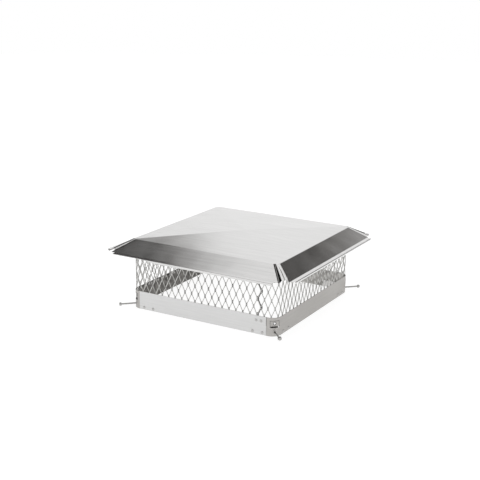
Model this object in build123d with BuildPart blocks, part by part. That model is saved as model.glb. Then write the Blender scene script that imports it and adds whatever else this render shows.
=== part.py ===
from build123d import *
from math import atan2, cos, degrees, radians, sin, sqrt
import os

# Chimney cap that clamps on a 13 inch clay flue tile. Millimetres, +Z up.
# The origin is at the middle of the base band's lower rim.

# Base band
band_side = 343.0
band_height = 38.5
band_sheet = 0.8
band_corner_radius = 20.0
seam_setback = 22.0
seam_gap = 0.5
lap_length = 38.0
lap_clearance = 0.5

# Pressed flat with the spare clamp hole, over an open slot
pocket_floor_z = 17.5
pocket_top_z = 31.5
pocket_width = 18.0
pocket_slot = 3.0
spare_hole_radius = 3.2

# Clamp screws, nuts and the brackets that carry them
screw_z = 8.0
screw_radius = 1.75
screw_length = 51.0
screw_reach = 31.0
head_sides = 6
head_across_flats = 6.4
head_height = 3.2
head_flange_radius = 4.1
head_flange_height = 0.9
thread_clearance = 0.05
hole_clearance = 0.6
hole_sides = 8
bracket_sheet = 1.5
bracket_height = 14.0
bracket_floor_z = 1.0
bracket_facet_setback = 21.0
bracket_wing = 60.0
nut_side = 8.0
nut_height = 3.2

# Rivets
rivet_head_radius = 2.6
rivet_head_height = 0.9
rivet_head_sides = 6
bracket_rivet_z = 4.6
bracket_rivet_setbacks = (31.0, 53.0)
lap_rivet_z = 28.5
lap_rivet_setbacks = (34.0, 45.0)

# Expanded-metal screen
screen_sheet = 1.2
screen_floor_z = 32.5
screen_pitch = 16.0
diamond_height = 33.5
strand_width = 1.9
first_bond_z = 39.0
corner_facets = 4
seam_columns = 1
seam_from_corner = 1
seam_shift = -1.6

# Lid
lid_sheet = 0.8
crease_side = 340.0
crease_z = 148.5
crown_rise = 6.0
crease_bend = 6.0
skirt_out = 38.5
skirt_drop = 22.0
skirt_overrun = 24.0
lip_out = 10.0
lip_fall = 0.8
hem_back = 3.5
hem_drop = 5.5
lip_bend = 1.4
lip_inset = 9.0
lid_over_screen = 0.8

# Corner pleats of the lid, as shares of the pleat's width from its left edge
pleat_setback = 9.0
pleat_share = 0.87
pleat_depth = 6.5
pleat_start_depth = 0.4
pleat_overlap = 1.2
pleat_lap = 0.3
notch_foot = 0.1
notch_end = 0.27
strip_start = 0.42
groove_start = 0.66
groove_middle = 0.71
groove_end = 0.76
groove_depth = 1.2
groove_start_depth = 0.15

# Lid clips
clip_sheet = 1.5
clip_width = 22.0
clip_leg = 32.0
clip_shelf = 18.0
clip_bend = 2.5

# Derived values
half = band_side / 2
inner_half = half - band_sheet
inner_radius = band_corner_radius - band_sheet
crease_half = crease_side / 2
corner_diagonal = (half - band_corner_radius) * sqrt(2) + band_corner_radius
corner_angles = {"front": -45, "right": 45, "back": 135, "left": 225}
side_angles = {"front": 0, "right": 90, "back": 180, "left": 270}


def corner_plane(angle, radius, z):
    """Plane at a corner: local X runs along the facet, local Y up, local Z outwards."""
    outward = Vector(cos(radians(angle)), sin(radians(angle)), 0)
    along = Vector(-sin(radians(angle)), cos(radians(angle)), 0)
    return Plane(origin=(outward.X * radius, outward.Y * radius, z), x_dir=along, z_dir=outward)


def side_plane(angle, offset, along=0.0, z=0.0):
    """Plane on a side: local X runs along the side, local Y up, local Z outwards."""
    outward = Vector(sin(radians(angle)), -cos(radians(angle)), 0)
    side = Vector(cos(radians(angle)), sin(radians(angle)), 0)
    place = outward * offset + side * along + Vector(0, 0, z)
    return Plane(origin=place, x_dir=side, z_dir=outward)


def finish(part, name):
    """Label a finished piece and write it to its own file."""
    part.part.label = name
    export_step(part.part, f"parts/{name}.step")


os.makedirs("parts", exist_ok=True)

# Rivet places, on the outer face of the band
bracket_rivet_planes = [
    side_plane(angle, half, hand * (half - setback), bracket_rivet_z)
    for angle in side_angles.values()
    for hand in (-1, 1)
    for setback in bracket_rivet_setbacks
]
lap_rivet_planes = [
    side_plane(side_angles["front"], half, half - setback, lap_rivet_z)
    for setback in lap_rivet_setbacks
]

# Base band: a rounded square ring with its lap, holes and pressed flats
pocket_half_angle = pocket_width / 2 / band_corner_radius
pocket_half_width = band_corner_radius * sin(pocket_half_angle)
corner_centre = (half - band_corner_radius) * sqrt(2)
pocket_face = corner_centre + band_corner_radius * cos(pocket_half_angle)
plate_floor_z = pocket_floor_z + pocket_slot
lap_floor_z = bracket_floor_z + bracket_height + lap_clearance
lap_top_z = screen_floor_z - lap_clearance
with BuildPart() as base_band:
    with BuildSketch():
        RectangleRounded(band_side, band_side, band_corner_radius)
        RectangleRounded(2 * inner_half, 2 * inner_half, inner_radius, mode=Mode.SUBTRACT)
    extrude(amount=band_height)
    # The seam is a narrow gap in the outer layer, backed by the lap inside it
    with Locations((half - seam_setback, -half + band_sheet / 2, band_height / 2)):
        Box(seam_gap, 2 * band_sheet, 2 * band_height, mode=Mode.SUBTRACT)
    with BuildSketch(Plane.XY.offset(lap_floor_z)):
        with Locations((half - band_corner_radius, -inner_half)):
            Rectangle(lap_length, band_sheet, align=(Align.MAX, Align.MIN))
    extrude(amount=lap_top_z - lap_floor_z)
    # Windows of the pressed flats, then the holes for the clamp screws
    with BuildSketch(*[corner_plane(a, corner_diagonal, pocket_floor_z) for a in corner_angles.values()]):
        Rectangle(2 * pocket_half_width, pocket_top_z - pocket_floor_z, align=(Align.CENTER, Align.MIN))
    extrude(amount=-band_corner_radius / 2, mode=Mode.SUBTRACT)
    with BuildSketch(*[corner_plane(a, corner_diagonal, screw_z) for a in corner_angles.values()]):
        RegularPolygon(screw_radius + hole_clearance, hole_sides, major_radius=False)
    extrude(amount=-band_corner_radius / 2, mode=Mode.SUBTRACT)
    # Pressed flats, hung from a half-moon shoulder at the top of each window
    with BuildSketch(*[corner_plane(a, pocket_face, plate_floor_z) for a in corner_angles.values()]):
        Rectangle(2 * pocket_half_width, pocket_top_z + band_sheet - plate_floor_z,
                  align=(Align.CENTER, Align.MIN))
        with Locations((0, (pocket_top_z - plate_floor_z) / 2)):
            Circle(spare_hole_radius, mode=Mode.SUBTRACT)
    extrude(amount=-band_sheet)
    with BuildSketch(*[Plane.XY.offset(pocket_top_z).rotated((0, 0, a)) for a in corner_angles.values()]):
        with Locations((corner_centre, 0)):
            Circle(band_corner_radius - band_sheet / 2)
        with Locations((pocket_face - band_sheet / 2, 0)):
            Rectangle(4 * band_corner_radius, 4 * band_corner_radius,
                      align=(Align.MAX, Align.CENTER), mode=Mode.SUBTRACT)
    extrude(amount=band_sheet)
    # Rivet heads, fused with the band that carries them
    with BuildSketch(*bracket_rivet_planes, *lap_rivet_planes):
        RegularPolygon(rivet_head_radius, rivet_head_sides)
    extrude(amount=rivet_head_height)
finish(base_band, "base_band")

# Clamp brackets, nuts and screws, one set in each corner
wall_corner = inner_half * sqrt(2)
bracket_face = wall_corner - bracket_facet_setback / sqrt(2)
head_seat = corner_diagonal + screw_reach
facet = bracket_facet_setback / sqrt(2)
wing = bracket_wing / sqrt(2)
for corner, angle in corner_angles.items():
    with BuildPart() as clamp_bracket:
        with BuildSketch(Plane.XY.offset(bracket_floor_z).rotated((0, 0, angle))):
            with BuildLine():
                Polyline((wall_corner - wing, -wing), (wall_corner - facet, -facet),
                         (wall_corner - facet, facet), (wall_corner - wing, wing))
                offset(amount=bracket_sheet, side=Side.LEFT, kind=Kind.INTERSECTION)
            make_face()
        extrude(amount=bracket_height)
        with BuildSketch(corner_plane(angle, bracket_face, screw_z)):
            RegularPolygon(screw_radius + hole_clearance, hole_sides, major_radius=False)
        extrude(amount=-2 * bracket_sheet, mode=Mode.SUBTRACT)
    finish(clamp_bracket, f"clamp_bracket_{corner}")

    with BuildPart() as clamp_nut:
        with BuildSketch(corner_plane(angle, bracket_face - bracket_sheet, screw_z)):
            Rectangle(nut_side, nut_side)
            Circle(screw_radius + thread_clearance, mode=Mode.SUBTRACT)
        extrude(amount=-nut_height)
    finish(clamp_nut, f"clamp_nut_{corner}")

    with BuildPart() as clamp_screw:
        with BuildSketch(corner_plane(angle, head_seat, screw_z)):
            Circle(screw_radius)
        extrude(amount=-screw_length)
        with BuildSketch(corner_plane(angle, head_seat, screw_z)):
            RegularPolygon(head_flange_radius, 2 * head_sides)
        extrude(amount=head_flange_height)
        with BuildSketch(corner_plane(angle, head_seat + head_flange_height, screw_z)):
            RegularPolygon(head_across_flats / 2, head_sides, major_radius=False)
        extrude(amount=head_height)
    finish(clamp_screw, f"clamp_screw_{corner}")

# Expanded-metal screen: flat walls and corner facets of one lattice of strands
wall_run = band_side - 2 * band_corner_radius
wall_columns = 2 * round(wall_run / screen_pitch)
wall_step = wall_run / wall_columns
facet_step = 2 * inner_radius * sin(radians(45 / corner_facets))
strand_slope = atan2(diamond_height / 2, wall_step)
open_share = 1 - strand_width / 2 / (wall_step * sin(strand_slope))
screen_top_z = crease_z - lid_sheet - lid_over_screen
diamond_rows = 1 + round((screen_top_z - first_bond_z) / diamond_height)
bend_angle = 90 / corner_facets


def diamonds(columns, step, mode):
    """Sketch the openings of a run of columns: (number, distance along) for each column."""
    places = [
        (along, (row + number % 2 / 2) * diamond_height + first_bond_z - screen_floor_z)
        for number, along in columns
        for row in range(diamond_rows - number % 2)
    ]
    with Locations(*places):
        across = open_share * step
        high = open_share * diamond_height / 2
        Polygon((-across, 0), (0, -high), (across, 0), (0, high), align=None, mode=mode)


def screen_wall(columns, first=0):
    """Sketch a flat stretch of screen, its origin at the lower edge of the first column."""
    Rectangle(columns * wall_step, screen_top_z - screen_floor_z, align=(Align.MIN, Align.MIN))
    diamonds([(first + number, number * wall_step) for number in range(columns + 1)], wall_step, Mode.SUBTRACT)


with BuildPart() as screen_corner:
    bends = [bend_angle * number for number in range(corner_facets + 1)]
    outside = [(inner_radius * sin(radians(bend)), -inner_radius * cos(radians(bend))) for bend in bends]
    inside = [(x * (1 - screen_sheet / inner_radius), y * (1 - screen_sheet / inner_radius)) for x, y in outside]
    with BuildSketch(Plane.XY.offset(screen_floor_z)):
        Polygon(*outside, *reversed(inside), align=None)
    extrude(amount=screen_top_z - screen_floor_z)
    for number, bend in enumerate(bends):
        with BuildSketch(side_plane(bend, inner_radius, 0, screen_floor_z)):
            diamonds([(number, 0)], facet_step * cos(radians(bend_angle / 2)), Mode.ADD)
        extrude(amount=-3 * screen_sheet, mode=Mode.SUBTRACT)

with BuildPart() as mesh_screen:
    with BuildSketch(*[side_plane(a, inner_half, -wall_run / 2, screen_floor_z) for a in side_angles.values()]):
        screen_wall(wall_columns)
    extrude(amount=-screen_sheet)
    with PolarLocations(0, 4):
        add(screen_corner.part.moved(Location((wall_run / 2, -wall_run / 2, 0))))
    # The strip's other end laps inside the front wall, a little out of step
    lap_start = wall_run / 2 - (seam_columns + seam_from_corner) * wall_step + seam_shift
    with BuildSketch(side_plane(side_angles["front"], inner_half - screen_sheet, lap_start, screen_floor_z)):
        screen_wall(seam_columns, seam_from_corner)
    extrude(amount=-screen_sheet)
finish(mesh_screen, "mesh_screen")

# Lid: one side's profile from the middle out, cut to its share of the plan, four times
crown_slope = crown_rise / crease_half
skirt_edge = crease_half + skirt_out
lip_edge = skirt_edge + lip_out
lid_profile = (
    (0, crease_z + crown_rise),
    (crease_half, crease_z),
    (skirt_edge, crease_z - skirt_drop),
    (lip_edge, crease_z - skirt_drop - lip_fall),
    (lip_edge - hem_back, crease_z - skirt_drop - lip_fall - hem_drop),
)
mitre = crease_half - pleat_setback / 2
tip = crease_half + skirt_overrun
lid_plan = (
    (0, 0), (mitre, mitre), (crease_half - pleat_setback, crease_half), (tip, skirt_edge + lip_bend / 4),
    (tip - lip_inset, skirt_edge + lip_bend / 2), (tip - lip_inset, lip_edge + lip_out),
)
pleat_run = pleat_share * (skirt_out + skirt_overrun + pleat_setback) / sqrt(2)
pleat_fall = pleat_share * skirt_drop
pleat_slope = degrees(atan2(pleat_fall, pleat_run))
pleat_start_width = pleat_setback * sqrt(2)
pleat_end_width = pleat_start_width + pleat_share * (skirt_out - skirt_overrun - pleat_setback) * sqrt(2)


def pleat_section(run, fall, width, depth, groove):
    """Sketch the folded sheet across the front pleat, square to the pleat's slope."""
    flat = corner_plane(corner_angles["front"], mitre * sqrt(2) + run, crease_z - fall - pleat_lap)
    along_pleat = flat.z_dir * cos(radians(pleat_slope)) - Vector(0, 0, sin(radians(pleat_slope)))
    marks = [(0, 0), (notch_foot, depth), (notch_end, depth), (strip_start, 0), (groove_start, 0),
             (groove_middle, groove), (groove_end, 0), (1, 0)]
    points = [((share - 0.5) * width, -down) for share, down in marks]
    edge = (pleat_overlap, -pleat_overlap * skirt_drop / skirt_out / sqrt(2))
    with BuildSketch(Plane(origin=flat.origin, x_dir=flat.x_dir, z_dir=along_pleat)) as section:
        with BuildLine():
            Polyline((points[0][0] - edge[0], edge[1]), *points, (points[-1][0] + edge[0], edge[1]))
            offset(amount=lid_sheet, side=Side.RIGHT, kind=Kind.INTERSECTION)
        make_face()
    return section.sketch


with BuildPart() as lid:
    with BuildPart(mode=Mode.PRIVATE) as lid_side:
        with BuildSketch(Plane.YZ.offset(-tip)):
            with BuildLine():
                FilletPolyline(*lid_profile, radius=(crease_bend, lip_bend, lip_bend))
                offset(amount=lid_sheet, side=Side.RIGHT, kind=Kind.INTERSECTION)
            make_face()
        extrude(amount=2 * tip)
        with BuildSketch():
            Polygon(*lid_plan, *[(-x, y) for x, y in reversed(lid_plan[1:])], align=None)
        extrude(amount=2 * crease_z, mode=Mode.INTERSECT)
    with BuildPart(mode=Mode.PRIVATE) as pleat:
        loft([pleat_section(0, 0, pleat_start_width, pleat_start_depth, groove_start_depth),
              pleat_section(pleat_run, pleat_fall, pleat_end_width, pleat_depth, groove_depth)], ruled=True)
    with PolarLocations(0, 4):
        add(lid_side.part)
    with PolarLocations(0, 4):
        add(pleat.part)
finish(lid, "lid")

# Lid clips inside the screen, one in the middle of each side
screen_face = inner_half - screen_sheet


def lid_underside(out):
    """Height of the lid's underside at a distance from the middle."""
    return crease_z + (crease_half - out) * crown_slope - lid_sheet * sqrt(1 + crown_slope**2)


for side, angle in side_angles.items():
    with BuildPart() as lid_clip:
        with BuildSketch(Plane.YZ.rotated((0, 0, angle + 180))):
            with BuildLine():
                Polyline((screen_face, lid_underside(screen_face) - clip_leg),
                         (screen_face, lid_underside(screen_face) - clip_bend),
                         (screen_face - clip_bend, lid_underside(screen_face - clip_bend)),
                         (screen_face - clip_shelf, lid_underside(screen_face - clip_shelf)))
                offset(amount=clip_sheet, side=Side.LEFT, kind=Kind.INTERSECTION)
            make_face()
        extrude(amount=clip_width / 2, both=True)
    finish(lid_clip, f"lid_clip_{side}")
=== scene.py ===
"""Square stainless chimney cap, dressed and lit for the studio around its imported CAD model."""

import logging
import math
from dataclasses import dataclass, field
from enum import Enum
from functools import reduce
from typing import Callable, Iterable, Sequence

import bmesh
import bpy
from mathutils import Matrix, Vector, noise

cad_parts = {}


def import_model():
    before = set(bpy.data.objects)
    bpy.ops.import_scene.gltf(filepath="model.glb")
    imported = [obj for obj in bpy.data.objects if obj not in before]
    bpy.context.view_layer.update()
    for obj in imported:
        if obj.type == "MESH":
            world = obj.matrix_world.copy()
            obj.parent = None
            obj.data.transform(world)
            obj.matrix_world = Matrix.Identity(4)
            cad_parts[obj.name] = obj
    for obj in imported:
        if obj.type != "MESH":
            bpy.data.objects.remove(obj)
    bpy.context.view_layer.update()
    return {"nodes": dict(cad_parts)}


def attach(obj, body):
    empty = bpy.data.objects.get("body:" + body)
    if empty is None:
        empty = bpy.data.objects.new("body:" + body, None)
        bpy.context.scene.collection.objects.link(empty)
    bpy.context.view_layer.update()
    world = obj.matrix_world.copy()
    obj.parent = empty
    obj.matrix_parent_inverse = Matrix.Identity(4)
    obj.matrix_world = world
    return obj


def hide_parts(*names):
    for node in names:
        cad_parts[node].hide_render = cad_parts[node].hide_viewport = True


LOG = logging.getLogger("chimney_cap")
MM = 0.001
BODY = "cap"

Pair = tuple[float, float]
Socket = bpy.types.NodeSocket


class Side(Enum):
    """The four sides of the cap, by the turn that brings the front side to each."""

    FRONT = 0
    RIGHT = 90
    BACK = 180
    LEFT = 270


class Corner(Enum):
    """The four corners, by the heading of their diagonal in degrees."""

    FRONT = -45
    RIGHT = 45
    BACK = 135
    LEFT = 225


class Grain(Enum):
    """Which way the brushed lines of a sheet run."""

    ALONG_X = (2.0, 60.0, 60.0)
    ROUND_BAND = (3.0, 3.0, 90.0)
    NONE = (30.0, 30.0, 30.0)


# ---- helpers for meshes ----


def turned(point: Vector, degrees: float) -> Vector:
    """Turn a point about the vertical axis."""
    return Matrix.Rotation(math.radians(degrees), 3, "Z") @ point


def make_object(name: str, mesh: bpy.types.Mesh) -> bpy.types.Object:
    """Link a mesh to the scene as an object at the origin.

    Args:
        name: the object's name.
        mesh: its mesh.

    Returns:
        The object.
    """
    piece = bpy.data.objects.new(name, mesh)
    bpy.context.scene.collection.objects.link(piece)
    return piece


def soften(mesh: bpy.types.Mesh, sharp_degrees: float) -> None:
    """Shade a mesh smooth, but keep the edges that turn by more than an angle sharp.

    Args:
        mesh: the mesh to shade.
        sharp_degrees: the turn past which an edge stays sharp.
    """
    work = bmesh.new()
    work.from_mesh(mesh)
    for face in work.faces:
        face.smooth = True
    limit = math.radians(sharp_degrees)
    for edge in work.edges:
        edge.smooth = len(edge.link_faces) == 2 and edge.calc_face_angle(0.0) < limit
    work.to_mesh(mesh)
    work.free()


def baked(source: bpy.types.Object, name: str) -> bpy.types.Object:
    """Turn an object with live modifiers into a plain mesh and drop the original.

    Args:
        source: the object whose evaluated shape is wanted.
        name: the new object's name.

    Returns:
        The plain object.
    """
    graph = bpy.context.evaluated_depsgraph_get()
    mesh = bpy.data.meshes.new_from_object(source.evaluated_get(graph))
    mesh.name = name
    old = source.data
    bpy.data.objects.remove(source)
    if old.users == 0:
        bpy.data.meshes.remove(old)
    return make_object(name, mesh)


def skin(
    work: bmesh.types.BMesh, rings: Sequence[Sequence[bmesh.types.BMVert]], closed: bool = False
) -> list[bmesh.types.BMFace]:
    """Join rings of points by bands of faces.

    Args:
        work: the mesh that gets the faces.
        rings: the rings' vertices, the same number in each.
        closed: whether the last ring joins the first; if not, both ends are capped.

    Returns:
        The new faces.
    """
    count = len(rings[0])
    faces = [] if closed else [work.faces.new(rings[0][::-1]), work.faces.new(rings[-1])]
    for low, high in zip(rings, [*rings[1:], rings[0]] if closed else rings[1:]):
        for left in range(count):
            right = (left + 1) % count
            faces.append(work.faces.new((low[left], low[right], high[right], high[left])))
    return faces


# ---- helpers for node trees ----


class NodeBuilder:
    """Short calls that add nodes to a tree."""

    def __init__(self, group: bpy.types.NodeTree) -> None:
        """Work on a tree that exists."""
        self.group = group

    def add(self, kind: str, inputs: dict | None = None, **settings: object) -> bpy.types.Node:
        """Add a node, set its properties, and link or set its inputs.

        Args:
            kind: the node's type name.
            inputs: what goes into each input, by index or name: a socket or a value.
            settings: properties of the node.

        Returns:
            The new node.
        """
        node = self.group.nodes.new(kind)
        for key, value in settings.items():
            setattr(node, key, value)
        self.feed(node, inputs or {})
        return node

    def feed(self, node: bpy.types.Node, inputs: dict) -> None:
        """Link or set a node's inputs.

        Args:
            node: the node.
            inputs: what goes into each input, by index or name: a socket or a value.
        """
        for key, value in inputs.items():
            if isinstance(value, Socket):
                self.group.links.new(value, node.inputs[key])
            else:
                node.inputs[key].default_value = value

    def out(self, kind: str, inputs: dict | None = None, **settings: object) -> Socket:
        """Add a node as add does, and return its first output."""
        return self.add(kind, inputs, **settings).outputs[0]

    def math(self, operation: str, *values: object) -> Socket:
        """Add a Math node and return its result."""
        return self.out("ShaderNodeMath", dict(enumerate(values)), operation=operation)

    def times(self, first: object, second: object) -> Socket:
        """Multiply two values."""
        return self.math("MULTIPLY", first, second)

    def plus(self, first: object, second: object) -> Socket:
        """Add two values."""
        return self.math("ADD", first, second)

    def minus(self, first: object, second: object) -> Socket:
        """Subtract the second value from the first."""
        return self.math("SUBTRACT", first, second)

    def over(self, first: object, second: object) -> Socket:
        """Divide the first value by the second."""
        return self.math("DIVIDE", first, second)


class TreeBuilder(NodeBuilder):
    """Short calls that build one Geometry Nodes tree."""

    def __init__(self, name: str) -> None:
        """Start a tree with one geometry output.

        Args:
            name: the tree's name.
        """
        super().__init__(bpy.data.node_groups.new(name, "GeometryNodeTree"))
        self.group.interface.new_socket(
            name="Geometry", in_out="OUTPUT", socket_type="NodeSocketGeometry"
        )
        self.entry = self.group.nodes.new("NodeGroupInput")
        self.exit = self.group.nodes.new("NodeGroupOutput")
        self.names: dict[str, str] = {}

    def size(self, name: str, default: float = 0.0, kind: str = "Float") -> Socket:
        """Add a named input.

        Args:
            name: the input's name.
            default: its value where it is a number.
            kind: the socket's type, as in its class's name.

        Returns:
            The input's socket inside the tree.
        """
        item = self.group.interface.new_socket(
            name=name, in_out="INPUT", socket_type=f"NodeSocket{kind}"
        )
        if kind in ("Float", "Int"):
            item.default_value = default
        self.names[name] = item.identifier
        return self.entry.outputs[name]

    def vector(self, x: object = 0.0, y: object = 0.0, z: object = 0.0) -> Socket:
        """Combine three numbers into a vector."""
        return self.out("ShaderNodeCombineXYZ", {0: x, 1: y, 2: z})

    def rounded_box(self, width: Socket, height: Socket, radius: object, steps: int) -> Socket:
        """Draw a rectangle with rounded corners as a curve.

        Args:
            width: its size along X.
            height: its size along Y.
            radius: the corners' radius.
            steps: how many points round each corner.

        Returns:
            The curve.
        """
        sizes = {"Width": width, "Height": height}
        box = self.out("GeometryNodeCurvePrimitiveQuadrilateral", sizes)
        corners = {"Curve": box, "Radius": radius, "Count": steps}
        return self.out("GeometryNodeFilletCurve", corners, mode="POLY")

    def place(self) -> Sequence[Socket]:
        """Split the position of each point into its three parts."""
        here = self.out("GeometryNodeInputPosition")
        return self.add("ShaderNodeSeparateXYZ", {0: here}).outputs

    def finish(self, geometry: Socket, material: Socket) -> None:
        """End the tree in Realize Instances and Set Material.

        Args:
            geometry: the finished shape.
            material: the material's input.
        """
        real = self.out("GeometryNodeRealizeInstances", {0: geometry})
        dressed = self.out("GeometryNodeSetMaterial", {"Geometry": real, "Material": material})
        self.group.links.new(dressed, self.exit.inputs[0])

    def run(
        self, name: str, base: bpy.types.Mesh | None = None, **values: object
    ) -> bpy.types.Object:
        """Evaluate the tree on an object and keep the result as a plain mesh.

        Args:
            name: the finished piece's name.
            base: the mesh that the tree starts from, if it needs one.
            values: the tree's inputs, by name with underscores for spaces.

        Returns:
            The plain object.
        """
        carrier = make_object(f"{name}_carrier", base or bpy.data.meshes.new(f"{name}_carrier"))
        modifier = carrier.modifiers.new("tree", "NODES")
        modifier.node_group = self.group
        for key, value in values.items():
            modifier[self.names[key.replace("_", " ")]] = value
        return baked(carrier, name)


# ---- finishes ----


@dataclass(frozen=True)
class StainlessFinish:
    """Satin stainless steel: rolled grain, faint smudges and streaks, and a soft sheen.

    Fields are the colour, the roughness and its spread, the direction of the grain and its
    depth in metres, how far the smudges darken the colour, how closely the grain, the streaks
    and the smudges lie, and the streaks' share in the darkening.
    """

    name: str
    colour: tuple[float, float, float]
    roughness: float = 0.22
    spread: float = 0.05
    grain: Grain = Grain.ALONG_X
    grain_depth: float = 0.00002
    smudge: float = 0.08
    grain_scale: float = 40.0
    streak_scale: float = 4.0
    smudge_scale: float = 9.0
    streak_share: float = 0.6

    def build(self) -> bpy.types.Material:
        """Build the finish as a node material.

        Returns:
            The material.
        """
        if self.name in bpy.data.materials:
            return bpy.data.materials[self.name]
        material = bpy.data.materials.new(self.name)
        material.use_nodes = True
        t = NodeBuilder(material.node_tree)
        place = t.add("ShaderNodeTexCoord").outputs["Object"]

        def noise_of(scale: Sequence[float], detail: float, rough: float = 0.55) -> Socket:
            """Sample a noise on Object coordinates.

            Args:
                scale: how closely it lies along each axis.
                detail: its number of octaves.
                rough: how strong the finer octaves are.

            Returns:
                The noise's value.
            """
            spot = t.out("ShaderNodeMapping", {"Vector": place, "Scale": scale})
            cloud = {"Vector": spot, "Scale": 1.0, "Detail": detail, "Roughness": rough}
            return t.add("ShaderNodeTexNoise", cloud).outputs["Fac"]

        grain = noise_of([value * self.grain_scale for value in self.grain.value], 4.0)
        smudges = noise_of([self.smudge_scale] * 3, 5.0, 0.6)
        streaks = noise_of([value * self.streak_scale for value in self.grain.value], 2.0)
        lines = t.out("ShaderNodeMapRange", {"Value": streaks, "From Min": 0.35, "From Max": 0.65})
        wear = t.out("ShaderNodeMix", {"Factor": self.streak_share, 2: smudges, 3: lines})
        dark = [value * (1.0 - self.smudge) for value in self.colour]
        tint = t.add(
            "ShaderNodeMix", {"Factor": wear, 6: (*dark, 1.0), 7: (*self.colour, 1.0)},
            data_type="RGBA",
        )
        rough = t.out("ShaderNodeMapRange", {
            "Value": smudges, "From Min": 0.3, "From Max": 0.7,
            "To Min": self.roughness - self.spread, "To Max": self.roughness + self.spread,
        })
        relief = t.out("ShaderNodeBump", {
            "Strength": 1.0, "Distance": self.grain_depth, "Height": grain,
        })
        t.feed(t.group.nodes["Principled BSDF"], {
            "Base Color": tint.outputs[2], "Metallic": 1.0, "Roughness": rough, "Normal": relief,
        })
        return material


LID_STEEL = StainlessFinish(
    "lid_steel", (0.735, 0.73, 0.725), roughness=0.15, spread=0.03, grain_depth=0.000003,
    smudge=0.12,
)
SCREEN_STEEL = StainlessFinish(
    "screen_steel", (0.54, 0.535, 0.52), roughness=0.34, grain=Grain.NONE
)
# Painted shade: the band's outside, darkened and warmed for the sides that face away from the
# light.
BAND_STEEL_PAINTED_SHADE = StainlessFinish(
    "band_steel_painted_shade", (0.485, 0.472, 0.455), roughness=0.48, grain=Grain.ROUND_BAND
)
# Painted light: a lighter, neutral copy of the band's steel for its front wall.
FRONT_BAND_PAINTED_LIGHT = StainlessFinish(
    "front_band_painted_light", (0.68, 0.679, 0.677), roughness=0.46, grain=Grain.ROUND_BAND
)
# Painted shade: the band's inner faces; the far wall's inner face gets a lighter copy, painted
# light.
INNER_PAINTED_SHADE = StainlessFinish(
    "inner_painted_shade", (0.25, 0.24, 0.225), roughness=0.45, grain=Grain.NONE, smudge=0.85
)
FAR_INNER_PAINTED_LIGHT = StainlessFinish(
    "far_inner_painted_light", (0.54, 0.525, 0.50), roughness=0.5, grain=Grain.NONE, smudge=0.6
)
# Painted shade in the lid's pleats: near-black for the notches' walls, dark grey for their floors.
FOLD_PAINTED_SHADE = StainlessFinish("fold_painted_shade", (0.05, 0.048, 0.046), roughness=0.45, grain=Grain.NONE)
FOLD_FLOOR_PAINTED_SHADE = StainlessFinish(
    "fold_floor_painted_shade", (0.16, 0.157, 0.152), roughness=0.4, grain=Grain.NONE
)
# Painted shade: near-black for the bars and rings along the band's pressed flats, its lap's end,
# and the screen's lapped strands.
SEAM_PAINTED_SHADE = StainlessFinish("seam_painted_shade", (0.10, 0.098, 0.095), roughness=0.5, grain=Grain.NONE)
BRACKET_STEEL = StainlessFinish(
    "bracket_steel", (0.62, 0.61, 0.60), roughness=0.35, grain=Grain.NONE
)
RIVET_STEEL = StainlessFinish("rivet_steel", (0.50, 0.495, 0.485), roughness=0.3, grain=Grain.NONE)
FASTENER_STEEL = StainlessFinish(
    "fastener_steel", (0.44, 0.435, 0.425), roughness=0.3, grain=Grain.NONE
)
HEAD_STEEL = StainlessFinish(
    "screw_head_steel", (0.30, 0.295, 0.285), roughness=0.36, grain=Grain.NONE
)


def mesh_of(work: bmesh.types.BMesh, name: str, *finishes: StainlessFinish) -> bpy.types.Mesh:
    """Turn a finished work mesh into a named mesh with its materials.

    Args:
        work: the work mesh, which is freed.
        name: the mesh's name.
        finishes: the finishes of its material slots, in order.

    Returns:
        The mesh.
    """
    mesh = bpy.data.meshes.new(name)
    work.to_mesh(mesh)
    work.free()
    for finish in finishes:
        mesh.materials.append(finish.build())
    return mesh


# ---- the lid ----


@dataclass(frozen=True)
class SkirtSpan:
    """How far one skirt and its drip flange run past the crease's two ends, in millimetres."""

    start: float
    end: float
    lip_start: float
    lip_end: float


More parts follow.
